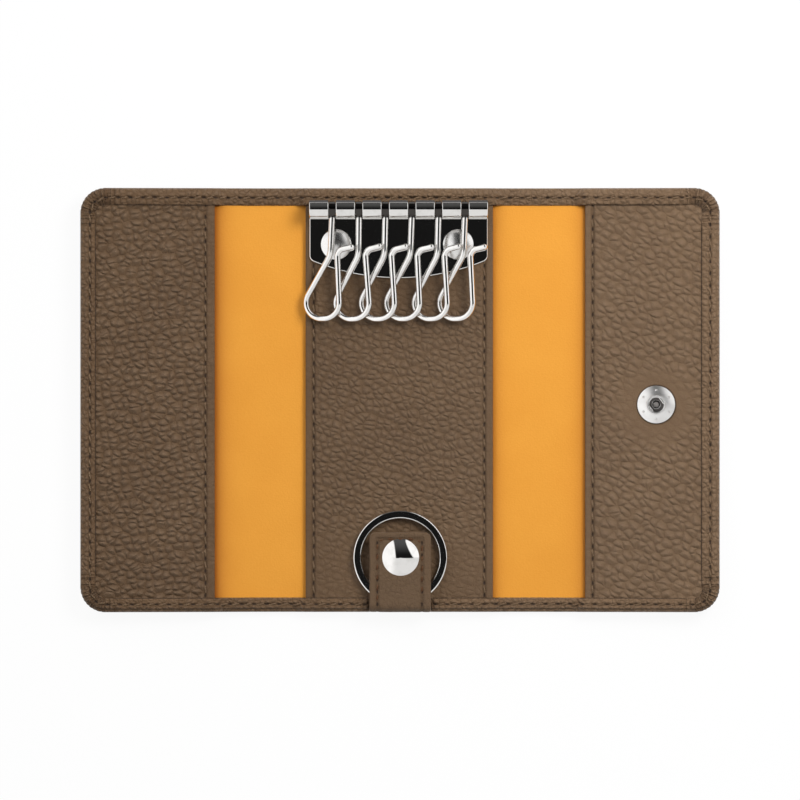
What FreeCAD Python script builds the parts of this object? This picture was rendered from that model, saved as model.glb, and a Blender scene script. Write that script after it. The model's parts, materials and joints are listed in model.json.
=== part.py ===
import FreeCAD, Part
import math
import os

os.makedirs("parts", exist_ok=True)

# Six-hook key case, lying open with its inside up. Millimetres, +Z up.
# The middle third lies on the table. The two flaps are drawn flat and then
# leaned up by the snap parts that stand under them.

# Outline of the open case, from the left edge to the right edge
left_pocket_width = 33.55
left_strip = 22.55
centre_width = 46.75
right_strip = 22.75
centre_shift = -0.125
left_fold_inset = 8.5
right_fold_inset = 10.35
stud_inset = 12.17
flap_snap_inset = 15.83
case_height = 106.0
case_corner = 6.25
edge_round = 0.5
head_y = case_height / 2
foot_y = -case_height / 2
centre_left = centre_shift - centre_width / 2
centre_right = centre_shift + centre_width / 2
left_pocket_edge = centre_left - left_strip
right_pocket_edge = centre_right + right_strip
left_edge = left_pocket_edge - left_pocket_width
left_fold_x = centre_left - left_fold_inset
right_fold_x = centre_right + right_fold_inset

# The right flap is as long as it takes for its socket to close on the left flap's stud
stud_x = left_edge + stud_inset
flap_snap_x = 2 * right_fold_x - 2 * left_fold_x + stud_x
right_edge = flap_snap_x + flap_snap_inset

# Leather layers, counted up from the table
cover_thick = 1.1
lining_thick = 0.4
board_thick = 0.6
panel_thick = 0.9
hem_thick = 0.8
lining_bottom = cover_thick
lining_top = lining_bottom + lining_thick
panel_bottom = lining_top + board_thick
panel_top = panel_bottom + panel_thick
hem_top_panel = panel_top + hem_thick
hem_top_lining = lining_top + hem_thick
edge_wall = 0.9
layer_gap = 0.05
inset = edge_wall + layer_gap

# Turned hem round the edge
hem_side = 4.2
hem_head = 4.4
hem_foot = 3.75
hem_corner = 2.5

# Sewn margin under the hem that lifts the pockets off the lining
pocket_skirt = 2.6

# Hooks and key plate
axle_inset = 5.4
axle_y = head_y - axle_inset
knuckle_count = 7
knuckle_width = 4.78
knuckle_pitch = 6.63
knuckle_radius = 2.3
tube_wall = 1.0
plate_thick = 0.7
plate_mid_x = -0.31
plate_side_drop = 12.5
plate_arc_drop = 17.15
plate_side_foot = axle_y - plate_side_drop
plate_arc_foot = axle_y - plate_arc_drop
plate_corner = 1.0
plate_round = 0.25
knuckle_round = 0.2
axle_fit = 0.03
eye_fit = 0.05
axle_radius = knuckle_radius - tube_wall - axle_fit
tube_lift = 0.7
axle_z = panel_top + tube_lift + knuckle_radius
roll_seam = 0.2
hook_count = 6
hook_wire = 1.5
hook_roll = 18.0
hook_droop = 0.2
hook_leans = (0.0, 2.1, 1.4, 0.5, 1.2, 0.4)
eye_radius = 1.95
eye_width = 1.5
shank_shift = -0.44
shank_drop = 11.45
shank_bend = 5.7
loop_left_shift = -9.4
loop_right_shift = 1.9
loop_drop = 27.3
loop_bend = 4.0
gate_shift = 1.23
gate_drop = 10.27
gate_bend = 2.0
tip_shift = 4.8
tip_drop = 9.45
slot_width = knuckle_pitch - knuckle_width
plate_length = (knuckle_count - 1) * knuckle_pitch + knuckle_width

# Plate rivets
rivet_span = 30.5
rivet_mid_x = -0.65
rivet_drop = 8.7
rivet_y = axle_y - rivet_drop
rivet_cap_radius = 3.8
rivet_cap_height = 1.1
rivet_post = 1.2
rivet_tube = 1.6
rivet_flange = 3.0
rivet_fit = 0.02
hole_gap = 0.05
flange_thick = 0.3

# Press snaps, one size for the flap and the strap
snap_radius = 4.7
snap_flange = 0.25
flange_crown = 1.4
socket_height = 2.2
rim_radius = 2.5
rim_wall = 0.3
lip_radius = 1.98
lip_thick = 0.25
socket_floor = 0.3
post_radius = 0.85
post_bore = 0.5
flare_radius = 1.15
flare_thick = 0.2
flare_round = 0.15
flare_mouth = 0.25
spring_wire = 0.45
spring_leg = 1.7
spring_turn = 36.0
spring_gap = 0.03
stud_flange_radius = 4.0
stud_flange_thick = 0.35
stud_height = 2.0
neck_radius = 1.2
crown_radius = 1.75
snap_play = 0.15
cap_radius = 4.6
cap_height = 1.5
base_radius = 3.8
bead_count = 6
bead_radius = 0.35
bead_sink = 0.12
rim_round = 0.2
bore_floor = 0.2
stud_chamfer = 0.3
crown_foot = 0.75
crown_low = 0.5
crown_high = 0.35
crown_chamfer = 0.2

# Strap with its own snap, holding the key ring
strap_x = 0.1
strap_width = 15.4
strap_reach = 20.0
strap_end_y = foot_y + strap_reach
strap_corner = 1.5
ply_thick = 0.65
strap_snap_x = 0.2
strap_snap_inset = 13.8
strap_snap_y = foot_y + strap_snap_inset
tail_length = 7.0
root_thick = 1.3
strap_axis_z = 4.0
strap_gap = 0.05
notch_gap = 0.2
strap_bottom = panel_top + stud_flange_thick + snap_play + socket_height
strap_middle = strap_bottom + ply_thick
strap_top = strap_middle + ply_thick

# Split key ring
ring_x = 0.1
ring_inset = 13.65
ring_y = foot_y + ring_inset
ring_outer = 11.75
ring_inner = 9.75
ring_turn = 0.9
ring_turn_gap = 0.1
ring_round = 0.35
ring_slit = 0.6
ring_bridge_angle = 24.0
ring_lift = 0.05

# Folds: height of each fold axis over the table, so that the closed flaps lie on the stack
left_fold_z = 6.3
split_gap = 0.05
flap_snap_y = -1.1
socket_reach = panel_top + socket_height
right_fold_z = left_fold_z + (stud_flange_thick + snap_play + socket_reach) / 2

# Lean of the flaps when the stud and the cap stand on the table
stud_reach = abs(stud_x - left_fold_x) - crown_radius + crown_chamfer
stud_drop = left_fold_z + stud_height
left_lean = math.degrees(
    math.atan2(stud_drop, stud_reach)
    - math.asin(left_fold_z / math.hypot(stud_reach, stud_drop))
)
cap_sphere = (cap_radius ** 2 + cap_height ** 2) / (2 * cap_height)
cap_reach = flap_snap_x - right_fold_x
cap_drop = right_fold_z - (cap_sphere - cap_height)
right_lean = math.degrees(
    math.asin((cap_sphere - right_fold_z) / math.hypot(cap_reach, cap_drop))
    + math.atan2(cap_drop, cap_reach)
)

far = 200.0
spare = 1.0
up = FreeCAD.Vector(0, 0, 1)


def point(x, y, z=0.0):
    return FreeCAD.Vector(x, y, z)


def box(x0, x1, y0, y1, z0, z1):
    return Part.makeBox(x1 - x0, y1 - y0, z1 - z0, point(x0, y0, z0))


def rod(radius, z0, z1, x=0.0, y=0.0):
    return Part.makeCylinder(radius, z1 - z0, point(x, y, z0), up)


def rounded_box(x0, x1, y0, y1, z0, z1, radius):
    solid = box(x0, x1, y0, y1, z0, z1)
    uprights = [e for e in solid.Edges if abs(e.Vertexes[0].Z - e.Vertexes[1].Z) > 0.1]
    return solid.makeFillet(radius, uprights)


def turned(profile):
    # A solid of revolution about Z from (radius, z) corners
    corners = [point(r, 0, z) for r, z in profile]
    face = Part.Face(Part.makePolygon(corners + corners[:1]))
    return face.revolve(point(0, 0), up, 360)


def ball_under(radius, height):
    # Radius of the ball whose cap has this radius and height
    return (radius ** 2 + height ** 2) / (2 * height)


def dome(radius, height):
    # A spherical cap standing on z = 0
    ball_radius = ball_under(radius, height)
    ball = Part.makeSphere(ball_radius, point(0, 0, height - ball_radius))
    return ball.common(rod(radius + spare, 0, height + spare))


def bent_path(corners, bends):
    # Straight runs joined by tangent arcs; one bend radius for each inner corner
    edges = []
    start = corners[0]
    for i in range(1, len(corners) - 1):
        corner = corners[i]
        back = (corners[i - 1] - corner).normalize()
        ahead = (corners[i + 1] - corner).normalize()
        half = back.getAngle(ahead) / 2
        reach = bends[i - 1] / math.tan(half)
        middle = (back + ahead).normalize()
        first = corner + back * reach
        last = corner + ahead * reach
        top = corner + middle * (bends[i - 1] / math.sin(half) - bends[i - 1])
        edges.append(Part.makeLine(start, first))
        edges.append(Part.Arc(first, top, last).toShape())
        start = last
    edges.append(Part.makeLine(start, corners[-1]))
    return Part.Wire(edges)


def wire_along(path, radius):
    # A round wire swept along a path
    edge = path.Edges[0]
    begin = edge.valueAt(edge.FirstParameter)
    heading = edge.tangentAt(edge.FirstParameter)
    section = Part.Wire(Part.makeCircle(radius, begin, heading))
    return path.makePipeShell([section], True, False)


def outline_solid(shrink, z0, z1):
    x0 = left_edge + shrink
    x1 = right_edge - shrink
    return rounded_box(x0, x1, foot_y + shrink, head_y - shrink, z0, z1, case_corner - shrink)


def lean_left(solid):
    leaned = solid.copy()
    leaned.rotate(point(left_fold_x, 0, left_fold_z), point(0, 1, 0), left_lean)
    return leaned


def lean_right(solid):
    leaned = solid.copy()
    leaned.rotate(point(right_fold_x, 0, right_fold_z), point(0, -1, 0), right_lean)
    return leaned


def save(name, solid):
    solid.exportStep("parts/" + name + ".step")


# Leather cover with its turned hem


def hemmed_block(hem_top):
    # The whole outline up to the hem's top, edges rounded, hollowed under the hem
    solid = outline_solid(0, 0, hem_top)
    rims = [e for e in solid.Edges if abs(e.BoundBox.ZMax - e.BoundBox.ZMin) < 0.01]
    solid = solid.makeFillet(edge_round, rims)
    hollow = outline_solid(edge_wall, cover_thick, hem_top - hem_thick)
    window = rounded_box(
        left_edge + hem_side,
        right_edge - hem_side,
        foot_y + hem_foot,
        head_y - hem_head,
        cover_thick,
        hem_top + spare,
        hem_corner,
    )
    return solid.cut(hollow).cut(window)


def slice_x(solid, x0, x1):
    return solid.common(box(x0, x1, -far, far, -far, far))


def cover_pieces():
    high = hemmed_block(hem_top_panel)
    low = hemmed_block(hem_top_lining)
    left = slice_x(high, -far, left_pocket_edge)
    left = left.fuse(slice_x(low, left_pocket_edge, left_fold_x - split_gap))
    right = slice_x(high, right_pocket_edge, far)
    right = right.fuse(slice_x(low, right_fold_x + split_gap, right_pocket_edge))
    centre = slice_x(high, centre_left, centre_right)
    centre = centre.fuse(slice_x(low, left_fold_x, centre_left))
    centre = centre.fuse(slice_x(low, centre_right, right_fold_x))
    half_notch = strap_width / 2 + notch_gap
    notch = box(
        strap_x - half_notch,
        strap_x + half_notch,
        -far,
        foot_y + hem_foot + spare,
        cover_thick,
        far,
    )
    centre = centre.cut(notch).removeSplitter()
    stud_hole = rod(post_radius + hole_gap, -spare, panel_top, stud_x, flap_snap_y)
    cap_hole = rod(post_radius + hole_gap, -spare, panel_top, flap_snap_x, flap_snap_y)
    left = left.cut(stud_hole).removeSplitter()
    right = right.cut(cap_hole).removeSplitter()
    return left, centre, right


def lining_pieces():
    sheet = outline_solid(inset, lining_bottom, lining_top)
    left = slice_x(sheet, -far, left_fold_x - split_gap)
    centre = slice_x(sheet, left_fold_x, right_fold_x)
    right = slice_x(sheet, right_fold_x + split_gap, far)
    half_root = strap_width / 2 + notch_gap
    root_room = box(
        strap_x - half_root,
        strap_x + half_root,
        -far,
        foot_y + root_thick + 2 * layer_gap,
        -spare,
        far,
    )
    centre = centre.cut(root_room)
    left = left.cut(rod(post_radius + hole_gap, 0, panel_top, stud_x, flap_snap_y))
    right = right.cut(rod(post_radius + hole_gap, 0, panel_top, flap_snap_x, flap_snap_y))
    return left, centre, right


# Pockets, centre panel and the board behind it


def pocket(x0, x1):
    # A panel on a low skirt along its three sewn sides, open towards the fold
    panel = slice_x(outline_solid(inset, lining_top, panel_top), x0, x1)
    margin = inset + pocket_skirt
    space = box(
        left_edge + margin,
        right_edge - margin,
        foot_y + margin,
        head_y - margin,
        lining_top,
        panel_bottom,
    )
    return panel.cut(space)


def left_pocket():
    panel = pocket(-far, left_pocket_edge)
    base_room = rod(base_radius + hole_gap, lining_top, panel_bottom, stud_x, flap_snap_y)
    return panel.cut(base_room)


def right_pocket():
    panel = pocket(right_pocket_edge, far)
    return panel.cut(rod(post_radius + hole_gap, 0, far, flap_snap_x, flap_snap_y))


def rivet_places():
    return (rivet_mid_x - rivet_span / 2, rivet_mid_x + rivet_span / 2)


def centre_panel():
    foot = foot_y + root_thick + 3 * layer_gap
    head = head_y - inset
    panel = box(centre_left, centre_right, foot, head, panel_bottom, panel_top)
    for x in rivet_places():
        panel = panel.cut(rod(rivet_tube + hole_gap, 0, far, x, rivet_y))
    return panel.cut(rod(post_radius + hole_gap, 0, far, strap_snap_x, strap_snap_y))


def centre_board():
    foot = foot_y + inset
    head = head_y - inset
    board = box(centre_left, centre_right, foot, head, lining_top, panel_bottom)
    for x in rivet_places():
        board = board.cut(rod(rivet_flange + hole_gap, 0, far, x, rivet_y))
    board = board.cut(rod(base_radius + hole_gap, 0, far, strap_snap_x, strap_snap_y))
    half_tail = strap_width / 2 + notch_gap
    tail_end = foot_y + tail_length + layer_gap
    return board.cut(box(strap_x - half_tail, strap_x + half_tail, -far, tail_end, 0, far))


# Key plate, axle, hooks and rivets


def plate_outline():
    half = plate_length / 2
    head = axle_y - knuckle_radius + plate_thick
    side = plate_side_foot + plate_corner
    shoulder = plate_side_foot - plate_corner / 2
    left_side = point(-half, side)
    left_foot = point(-half + plate_corner, shoulder)
    left_mid = point(-half + plate_corner / 4, plate_side_foot + plate_corner / 8)
    right_side = point(half, side)
    right_foot = point(half - plate_corner, shoulder)
    right_mid = point(half - plate_corner / 4, plate_side_foot + plate_corner / 8)
    edges = [
        Part.makeLine(point(-half, head), left_side),
        Part.Arc(left_side, left_mid, left_foot).toShape(),
        Part.Arc(left_foot, point(0, plate_arc_foot), right_foot).toShape(),
        Part.Arc(right_foot, right_mid, right_side).toShape(),
        Part.makeLine(right_side, point(half, head)),
        Part.makeLine(point(half, head), point(-half, head)),
    ]
    return Part.Wire(edges)


def rolled_knuckle(x0):
    # One rolled knuckle, ends rounded, with the seam where the roll comes back to the plate
    along = point(1, 0, 0)
    begin = point(x0, axle_y, axle_z)
    knuckle = Part.makeCylinder(knuckle_radius, knuckle_width, begin, along)
    rims = [e for e in knuckle.Edges if e.BoundBox.XMax - e.BoundBox.XMin < 0.01]
    knuckle = knuckle.makeFillet(knuckle_round, rims)
    front = axle_y - knuckle_radius
    seam_z = axle_z - knuckle_radius / 2
    x1 = x0 + knuckle_width
    seam = box(x0, x1, front, axle_y - axle_radius, seam_z, seam_z + roll_seam)
    lift_top = panel_top + tube_lift + tube_wall
    lift = box(x0, x1, front + plate_thick / 2, axle_y - knuckle_radius / 2, panel_top, lift_top)
    bore = Part.makeCylinder(axle_radius + axle_fit, knuckle_width, begin, along)
    return knuckle.cut(seam).fuse(lift).cut(bore)


def slot_places():
    first = plate_mid_x - plate_length / 2 + knuckle_width + slot_width / 2
    return [first + i * knuckle_pitch for i in range(hook_count)]


def key_plate():
    # Flat plate with softened upper edges, knuckles along its head
    plate = Part.Face(plate_outline()).extrude(point(0, 0, plate_thick))
    head = axle_y - knuckle_radius + plate_thick
    edges = []
    for e in plate.Edges:
        on_top = e.BoundBox.ZMin > plate_thick / 2
        at_head = e.BoundBox.YMin > head - hole_gap
        if on_top and not at_head:
            edges.append(e)
    plate = plate.makeFillet(plate_round, edges)
    plate.translate(point(plate_mid_x, 0, panel_top))
    first = plate_mid_x - plate_length / 2
    for i in range(knuckle_count):
        plate = plate.fuse(rolled_knuckle(first + i * knuckle_pitch))
    for x in rivet_places():
        plate = plate.cut(rod(rivet_tube + hole_gap, 0, far, x, rivet_y))
    return plate.removeSplitter()


def hook_axle():
    begin = point(plate_mid_x - plate_length / 2, axle_y, axle_z)
    return Part.makeCylinder(axle_radius, plate_length, begin, point(1, 0, 0))


def hook_path():
    # Shank, pear-shaped loop and free end with its thumb tip, seen from above:
    # across from the slot, then down from the axle
    eye_wall = (eye_radius + axle_radius + eye_fit) / 2
    places = [
        (0, eye_wall),
        (shank_shift, shank_drop),
        (loop_left_shift, loop_drop),
        (loop_right_shift, loop_drop),
        (gate_shift, gate_drop),
        (tip_shift, tip_drop),
    ]
    bends = [shank_bend, loop_bend, loop_bend, gate_bend]
    slant = math.cos(math.radians(hook_roll))
    corners = [point(across / slant, -down) for across, down in places]
    return bent_path(corners, bends)


def hook(lean):
    # Built at the axle's middle: the eye round the axle, the wire rolled about its shank
    radius = hook_wire / 2
    path = hook_path()
    wire = wire_along(path, radius)
    tip_ball = Part.makeSphere(radius, path.Vertexes[-1].Point)
    wire = wire.fuse(tip_ball)
    wire.rotate(point(0, 0), up, lean)
    wire.rotate(point(0, 0), point(0, 1, 0), -hook_roll)
    along = point(1, 0, 0)
    begin = point(-eye_width / 2, 0, 0)
    eye = Part.makeCylinder(eye_radius, eye_width, begin, along)
    bore = Part.makeCylinder(axle_radius + eye_fit, eye_width, begin, along)
    solid = wire.fuse(eye).cut(bore).removeSplitter()
    solid.rotate(point(0, 0), along, hook_droop)
    return solid


def save_hooks():
    for i, x in enumerate(slot_places()):
        solid = hook(hook_leans[i])
        solid.translate(point(x, axle_y, axle_z))
        save("hook_" + str(i + 1), solid)


def rivet_cap():
    # Domed head on the plate, its post running down into the base
    head = dome(rivet_cap_radius, rivet_cap_height)
    head.translate(point(0, 0, panel_top + plate_thick))
    return head.fuse(rod(rivet_post, panel_bottom - flange_thick, panel_top + plate_thick))


def rivet_base():
    flange = rod(rivet_flange, panel_bottom - flange_thick, panel_bottom)
    tube = rod(rivet_tube, panel_bottom - flange_thick, panel_top + plate_thick)
    return flange.fuse(tube).cut(rod(rivet_post + rivet_fit, 0, far)).removeSplitter()


def save_rivets():
    for side, x in zip(("left", "right"), rivet_places()):
        cap = rivet_cap()
        cap.translate(point(x, rivet_y, 0))
        save("rivet_cap_" + side, cap)
        base = rivet_base()
        base.translate(point(x, rivet_y, 0))
        save("rivet_base_" + side, base)


# Press snap pieces, each drawn on z = 0 and facing up


def snap_socket():
    # Crowned flange with beads, and the rim whose lip holds the spring in
    cavity = rim_radius - rim_wall
    lip_z = socket_height - lip_thick
    profile = [
        (post_radius + hole_gap, 0),
        (snap_radius, 0),
        (snap_radius, snap_flange),
        (rim_radius, snap_flange),
        (rim_radius, socket_height),
        (lip_radius, socket_height),
        (lip_radius, lip_z),
        (cavity, lip_z),
        (cavity, socket_floor),
        (post_radius + hole_gap, socket_floor),
    ]
    crown = dome(snap_radius, flange_crown).cut(rod(cavity + rim_wall / 2, -spare, far))
    crown.translate(point(0, 0, snap_flange))
    solid = turned(profile).fuse(crown).removeSplitter()
    lip = [e for e in solid.Edges if e.BoundBox.ZMin > socket_height - rim_round / 2]
    solid = solid.makeFillet(rim_round, lip)
    ball_radius = ball_under(snap_radius, flange_crown)
    bead_ring = (snap_radius + rim_radius) / 2
    fall = ball_radius - math.sqrt(ball_radius ** 2 - bead_ring ** 2)
    bead_z = snap_flange + flange_crown - fall - bead_sink
    for i in range(bead_count):
        angle = math.radians(360 * (i + 0.5) / bead_count)
        place = point(bead_ring * math.cos(angle), bead_ring * math.sin(angle), bead_z)
        solid = solid.fuse(Part.makeSphere(bead_radius, place))
    return solid.removeSplitter()


def snap_spring():
    # Two straight legs joined by an arc that lies against the socket's wall
    reach = rim_radius - rim_wall - spring_wire / 2 - spring_gap
    end = math.sqrt(reach ** 2 - spring_leg ** 2)
    level = socket_height - lip_thick - spring_wire / 2 - spring_gap
    corner_a = point(spring_leg, end, level)
    corner_b = point(-spring_leg, end, level)
    arc = Part.Arc(corner_a, point(0, reach, level), corner_b).toShape()
    leg_a = Part.makeLine(point(spring_leg, -end, level), corner_a)
    leg_b = Part.makeLine(corner_b, point(-spring_leg, -end, level))
    radius = spring_wire / 2
    solid = wire_along(Part.Wire([leg_a]), radius)
    solid = solid.fuse(wire_along(Part.Wire([leg_b]), radius))
    solid = solid.fuse(wire_along(Part.Wire([arc]), radius))
    for corner in (corner_a, corner_b):
        solid = solid.fuse(Part.makeSphere(radius, corner))
    solid.rotate(point(0, 0), up, spring_turn)
    return solid


def snap_cap(grip):
    # Domed head above the material, flared tubular post through it and the socket's floor
    head = dome(cap_radius, cap_height)
    foot = -grip - socket_floor - flare_thick
    post = rod(post_radius, foot, 0)
    flare = rod(flare_radius, foot, foot + flare_thick)
    rim = [e for e in flare.Edges if e.BoundBox.ZMax < foot + flare_thick / 2]
    flare = flare.makeFillet(flare_round, rim)
    bore = rod(post_bore, foot - spare, -grip - bore_floor)
    mouth = Part.makeCone(post_bore + flare_mouth, post_bore, flare_mouth, point(0, 0, foot), up)
    return head.fuse(post).fuse(flare).cut(bore).cut(mouth).removeSplitter()


def snap_stud():
    profile = [
        (post_radius + rivet_fit, 0),
        (stud_flange_radius, 0),
        (stud_flange_radius, stud_flange_thick / 2),
        (stud_flange_radius - stud_chamfer, stud_flange_thick),
        (neck_radius, stud_flange_thick),
        (neck_radius, stud_height - crown_foot),
        (crown_radius, stud_height - crown_low),
        (crown_radius, stud_height - crown_high),
        (crown_radius - crown_chamfer, stud_height),
        (post_radius + rivet_fit, stud_height),
    ]
    return turned(profile)


def snap_base(grip):
    # Flange under the material, its tube filling the stud
    flange = rod(base_radius, -grip - flange_thick, -grip)
    post = rod(post_radius, -grip - flange_thick, stud_height - layer_gap)
    bore = rod(post_bore, -grip + flange_thick, stud_height + spare)
    return flange.fuse(post).cut(bore).removeSplitter()


def placed_up(solid, x, y, z):
    solid.translate(point(x, y, z))
    return solid


def placed_down(solid, x, y, z):
    solid.rotate(point(0, 0), point(1, 0, 0), 180)
    solid.translate(point(x, y, z))
    return solid


def save_strap_snap():
    x = strap_snap_x
    y = strap_snap_y
    save("strap_snap_cap", placed_up(snap_cap(2 * ply_thick), x, y, strap_top))
    save("strap_snap_socket", placed_down(snap_socket(), x, y, strap_bottom))
    save("strap_snap_spring", placed_down(snap_spring(), x, y, strap_bottom))
    save("strap_snap_stud", placed_up(snap_stud(), x, y, panel_top))
    save("strap_snap_base", placed_up(snap_base(panel_thick), x, y, panel_top))


def save_flap_snap():
    x = flap_snap_x
    y = flap_snap_y
    save("flap_snap_cap", lean_right(placed_down(snap_cap(panel_top), x, y, 0)))
    save("flap_snap_socket", lean_right(placed_up(snap_socket(), x, y, panel_top)))
    save("flap_snap_spring", lean_right(placed_up(snap_spring(), x, y, panel_top)))
    save("flap_snap_stud", lean_left(placed_down(snap_stud(), stud_x, y, 0)))
    save("flap_snap_base", lean_left(placed_down(snap_base(lining_top), stud_x, y, 0)))


# Strap


def strap_root():
    # Tail under the panel and the wall that turns up at the case's edge
    x0 = strap_x - strap_width / 2
    x1 = strap_x + strap_width / 2
    edge = foot_y + strap_gap
    tail = box(x0, x1, edge, foot_y + tail_length, lining_top, panel_bottom)
    wall = box(x0, x1, edge, edge + root_thick, cover_thick, strap_axis_z - strap_gap)
    return tail.fuse(wall).removeSplitter()


def strap_ply(z0, z1):
    x0 = strap_x - strap_width / 2
    x1 = strap_x + strap_width / 2
    edge = foot_y + strap_gap
    solid = box(x0, x1, edge, strap_end_y, z0, z1)
    ends = []
    for e in solid.Edges:
        upright = e.BoundBox.ZMax - e.BoundBox.ZMin > 0.1
        if upright and e.BoundBox.YMin > strap_end_y - 0.1:
            ends.append(e)
    solid = solid.makeFillet(strap_corner, ends)
    return solid.cut(rod(post_radius + hole_gap, 0, far, strap_snap_x, strap_snap_y))


def strap_front():
    # The outer ply runs over the top and down the outside of the fold
    x0 = strap_x - strap_width / 2
    x1 = strap_x + strap_width / 2
    edge = foot_y + strap_gap
    wall = box(x0, x1, edge, edge + ply_thick, strap_axis_z + strap_gap, strap_middle)
    return strap_ply(strap_middle, strap_top).fuse(wall).removeSplitter()


def strap_back():
    x0 = strap_x - strap_width / 2
    x1 = strap_x + strap_width / 2
    edge = foot_y + strap_gap + ply_thick
    ply = strap_ply(strap_bottom, strap_middle)
    ply = ply.cut(box(x0 - spare, x1 + spare, -far, edge, 0, far))
    wall = box(x0, x1, edge, edge + ply_thick, strap_axis_z + strap_gap, strap_bottom)
    return ply.fuse(wall).removeSplitter()


# Key ring


def ring_layer(z0, slit_angle):
    # One flat turn with rounded edges and the slit where the strip ends
    band = rod(ring_outer, z0, z0 + ring_turn).cut(rod(ring_inner, z0, z0 + ring_turn))
    rims = [e for e in band.Edges if abs(e.BoundBox.ZMax - e.BoundBox.ZMin) < 0.01]
    band = band.makeFillet(ring_round, rims)
    slit = box(0, far, -ring_slit / 2, ring_slit / 2, -far, far)
    slit.rotate(point(0, 0), up, slit_angle)
    return band.cut(slit)


def key_ring():
    # Two flat turns of one strip, joined where the strip steps from one to the other
    foot = -90.0
    low = ring_layer(0, foot - ring_bridge_angle / 2)
    high = ring_layer(ring_turn + ring_turn_gap, foot + ring_bridge_angle / 2)
    shift = math.degrees(ring_slit / ring_inner)
    spread = ring_bridge_angle - 2 * shift
    inner = ring_inner + ring_round
    outer = ring_outer - ring_round
    bottom = ring_turn - ring_round
    top = ring_turn + ring_turn_gap + ring_round
    profile = [
        point(inner, 0, bottom),
        point(outer, 0, bottom),
        point(outer, 0, top),
        point(inner, 0, top),
    ]
    face = Part.Face(Part.makePolygon(profile + profile[:1]))
    bridge = face.revolve(point(0, 0), up, spread)
    bridge.rotate(point(0, 0), up, foot - spread / 2)
    ring = low.fuse(high).fuse(bridge).removeSplitter()
    ring.translate(point(ring_x, ring_y, panel_top + ring_lift))
    return ring


def save_leather():
    cover_left, cover_centre, cover_right = cover_pieces()
    save("cover_left", lean_left(cover_left))
    save("cover_centre", cover_centre)
    save("cover_right", lean_right(cover_right))
    lining_left, lining_centre, lining_right = lining_pieces()
    save("lining_left", lean_left(lining_left))
    save("lining_centre", lining_centre)
    save("lining_right", lean_right(lining_right))
    save("left_pocket", lean_left(left_pocket()))
    save("right_pocket", lean_right(right_pocket()))
    save("centre_panel", centre_panel())
    save("centre_board", centre_board())
    save("strap_root", strap_root())
    save("strap_front", strap_front())
    save("strap_back", strap_back())


save_leather()
save("key_plate", key_plate())
save("hook_axle", hook_axle())
save_hooks()
save_rivets()
save_strap_snap()
save_flap_snap()
save("key_ring", key_ring())
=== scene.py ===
import json
import math
import random

import bpy
import numpy as np
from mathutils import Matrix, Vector

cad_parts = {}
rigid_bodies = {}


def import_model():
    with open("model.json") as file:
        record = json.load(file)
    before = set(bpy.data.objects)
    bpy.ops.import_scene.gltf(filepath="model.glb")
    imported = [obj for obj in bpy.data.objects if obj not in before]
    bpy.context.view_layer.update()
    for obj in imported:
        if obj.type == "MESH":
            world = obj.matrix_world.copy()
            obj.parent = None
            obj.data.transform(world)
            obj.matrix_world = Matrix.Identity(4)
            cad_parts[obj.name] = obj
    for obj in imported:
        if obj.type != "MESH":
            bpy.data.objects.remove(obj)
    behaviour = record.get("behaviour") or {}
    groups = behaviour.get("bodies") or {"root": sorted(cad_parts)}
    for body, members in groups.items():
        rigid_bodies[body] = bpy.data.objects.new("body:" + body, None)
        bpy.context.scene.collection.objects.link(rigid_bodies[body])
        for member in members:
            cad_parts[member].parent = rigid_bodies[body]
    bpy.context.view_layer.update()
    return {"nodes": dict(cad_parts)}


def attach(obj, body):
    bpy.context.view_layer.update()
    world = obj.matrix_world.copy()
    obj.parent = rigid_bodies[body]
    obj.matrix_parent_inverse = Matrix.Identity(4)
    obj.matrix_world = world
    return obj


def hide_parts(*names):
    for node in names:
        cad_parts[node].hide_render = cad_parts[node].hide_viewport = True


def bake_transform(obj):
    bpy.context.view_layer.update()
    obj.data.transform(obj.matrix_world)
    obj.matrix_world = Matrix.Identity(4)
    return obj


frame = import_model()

# The leather is laid out flat in millimetres, then leaned up at the two folds like the real case.
mm = 0.001
noSeam = 50.0                        # distance from the stitch line, for leather that has none
scene = bpy.context.scene
scene.view_settings.view_transform = "Standard"
for ob in [o for o in bpy.data.objects if o.name in ("Cube", "Light", "Camera")]:
    bpy.data.objects.remove(ob)

case = {
    "left": -79.6, "right": 79.6, "head": 53.0, "foot": -53.0,
    "corner": 6.25,                  # radius of the four outer corners
    "inset": 0.98,                   # how far inside the outline the lining and the pockets end
    "endsFrom": 45.0,                # head and foot hems lie beyond this y
    "strips": {"left": (-46.05, -23.5), "right": (23.25, 46.0)},     # orange, between the panels
    "panelTop": 3.0, "liningTop": 1.5,
    "pitch": 3.05,                   # stitch length
    "snap": (63.77, -1.1), "snapZ": 3.2,     # middle of the flap snap
}

flaps = {"left": "left_flap", "right": "right_flap"}     # the flap body on each side

folds = {                            # axis, degrees of lean at rest, where the bend starts and ends, which way
    "left": {"x": -32.0, "z": 6.3, "lean": 3.360, "from": -23.9, "to": -40.1, "turn": 1},
    "right": {"x": 33.6, "z": 9.15, "lean": 2.843, "from": 23.8, "to": 43.4, "turn": -1},
}


def leanPoints(flat):
    out = flat.copy()
    for f in folds.values():
        t = np.clip((flat[:, 0] - f["from"]) / (f["to"] - f["from"]), 0, 1)
        a = f["turn"] * math.radians(f["lean"]) * t * t * (3 - 2 * t)
        dx = flat[:, 0] - f["x"]
        dz = flat[:, 2] - f["z"]
        bent = t > 0
        out[bent, 0] = (f["x"] + dx * np.cos(a) + dz * np.sin(a))[bent]
        out[bent, 2] = (f["z"] - dx * np.sin(a) + dz * np.cos(a))[bent]
    return out


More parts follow.
